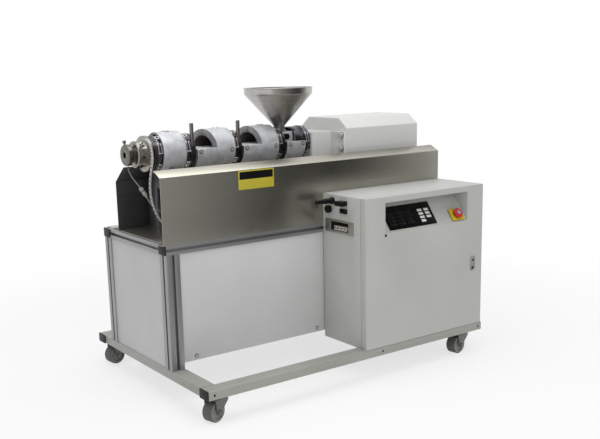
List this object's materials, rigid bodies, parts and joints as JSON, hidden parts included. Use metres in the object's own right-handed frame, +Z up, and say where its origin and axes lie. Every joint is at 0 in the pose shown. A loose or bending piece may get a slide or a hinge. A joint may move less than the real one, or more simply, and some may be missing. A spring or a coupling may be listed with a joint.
{
  "type": "twin screw extruder",
  "caption": "Laboratory twin screw extruder: finned barrel with hopper and die over a steel trough, slotted enclosure, side control cabinet and castor cart.",
  "frame": {"origin": "middle of the footprint on the floor", "axes": "+X along the barrel from the die to the motor, +Y to the back, +Z up"},
  "size_m": [1.153, 0.7771, 0.953],
  "materials": {
    "tube_paint": "satin grey paint",
    "black_plastic": "moulded black plastic",
    "slotted_bar": "anodised slotted bar",
    "panel_paint": "light grey paint",
    "stainless": "brushed sheet",
    "cast_alloy": "bead blasted casting",
    "band_black": "dark ribbed heater sleeve",
    "chrome": "plated",
    "tool_steel": "turned steel, heat tinted",
    "hopper_steel": "spun and brushed",
    "drive_paint": "off-white textured paint",
    "cabinet_paint": "fine textured grey paint",
    "keypad_film": "printed film",
    "stop_yellow": "yellow paint",
    "stop_red": "moulded red plastic",
    "tread_grey": "grey non-marking rubber",
    "fork_metal": "grey lacquer",
    "braid": "glass fibre braid",
    "lead_grey": "grey insulation"
  },
  "bodies": {
    "cart": {"base_rail_front": "tube_paint", "base_rail_rear": "tube_paint", "base_cross_left": "tube_paint", "base_cross_right": "tube_paint", "base_caps": "black_plastic", "posts_front": "slotted_bar", "posts_rear": "slotted_bar", "top_frame": "slotted_bar", "rail_caps": "black_plastic", "panel_left": "panel_paint", "panel_right": "panel_paint", "panel_front": "panel_paint", "panel_rear": "panel_paint", "deck": "stainless", "trough_front": "stainless", "trough_rear": "stainless", "trough_end": "stainless", "bulkhead": "stainless", "barrel": "tool_steel", "heater_bands": "band_black", "shroud_1": "cast_alloy", "shroud_2": "cast_alloy", "shroud_3": "cast_alloy", "feed_cradle": "cast_alloy", "feed_hood": "band_black", "band_clips": "chrome", "lever_rod_1": "tool_steel", "lever_rod_2": "tool_steel", "die_head": "tool_steel", "die_adapter": "tool_steel", "hopper": "hopper_steel", "clamp_knob": "black_plastic", "coupling": "drive_paint", "gearbox_plate": "drive_paint", "motor_cover": "drive_paint", "cabinet": "cabinet_paint", "connector_plate": "stainless", "side_connectors": "black_plastic", "castor_plates": "fork_metal", "cable_braid": "braid", "cable_lead": "lead_grey"},
    "door": {"door": "cabinet_paint", "console": "cabinet_paint", "keypad": "keypad_film", "stop_plate": "stop_yellow", "latch": "chrome"},
    "stop_button": {"stop_button": "stop_red"},
    "fork_fl": {"fork_fl": "fork_metal"},
    "wheel_fl": {"wheel_fl": "tread_grey"},
    "fork_fr": {"fork_fr": "fork_metal"},
    "wheel_fr": {"wheel_fr": "tread_grey"},
    "fork_rl": {"fork_rl": "fork_metal"},
    "wheel_rl": {"wheel_rl": "tread_grey"},
    "fork_rr": {"fork_rr": "fork_metal"},
    "wheel_rr": {"wheel_rr": "tread_grey"}
  },
  "joints": [
    {"name": "door_hinge", "type": "hinge", "parent": "cart", "child": "door", "pos_m": [0.0385, -0.3575, 0.357], "axis": [0, 0, -1], "range_deg": [0, 100]},
    {"name": "stop_push", "type": "slide", "parent": "door", "child": "stop_button", "axis": [0, 0.801, -0.5987], "range_m": [0, 0.005]},
    {"name": "swivel_fl", "type": "hinge", "parent": "cart", "child": "fork_fl", "pos_m": [-0.4985, -0.3415, 0.076], "axis": [0, 0, 1], "continuous": true},
    {"name": "spin_fl", "type": "hinge", "parent": "fork_fl", "child": "wheel_fl", "pos_m": [-0.52336, -0.3491, 0.0325], "axis": [0.2924, -0.9563, 0], "continuous": true},
    {"name": "swivel_fr", "type": "hinge", "parent": "cart", "child": "fork_fr", "pos_m": [0.5155, -0.3415, 0.076], "axis": [0, 0, 1], "continuous": true},
    {"name": "spin_fr", "type": "hinge", "parent": "fork_fr", "child": "wheel_fr", "pos_m": [0.48969, -0.34467, 0.0325], "axis": [0.1219, -0.9925, 0], "continuous": true},
    {"name": "swivel_rl", "type": "hinge", "parent": "cart", "child": "fork_rl", "pos_m": [-0.4985, 0.3445, 0.076], "axis": [0, 0, 1], "continuous": true},
    {"name": "spin_rl", "type": "hinge", "parent": "fork_rl", "child": "wheel_rl", "pos_m": [-0.52411, 0.33999, 0.0325], "axis": [0.1736, -0.9848, 0], "continuous": true},
    {"name": "swivel_rr", "type": "hinge", "parent": "cart", "child": "fork_rr", "pos_m": [0.5155, 0.3445, 0.076], "axis": [0, 0, 1], "continuous": true},
    {"name": "spin_rr", "type": "hinge", "parent": "fork_rr", "child": "wheel_rr", "pos_m": [0.48956, 0.34269, 0.0325], "axis": [0.0698, -0.9976, 0], "continuous": true}
  ]
}
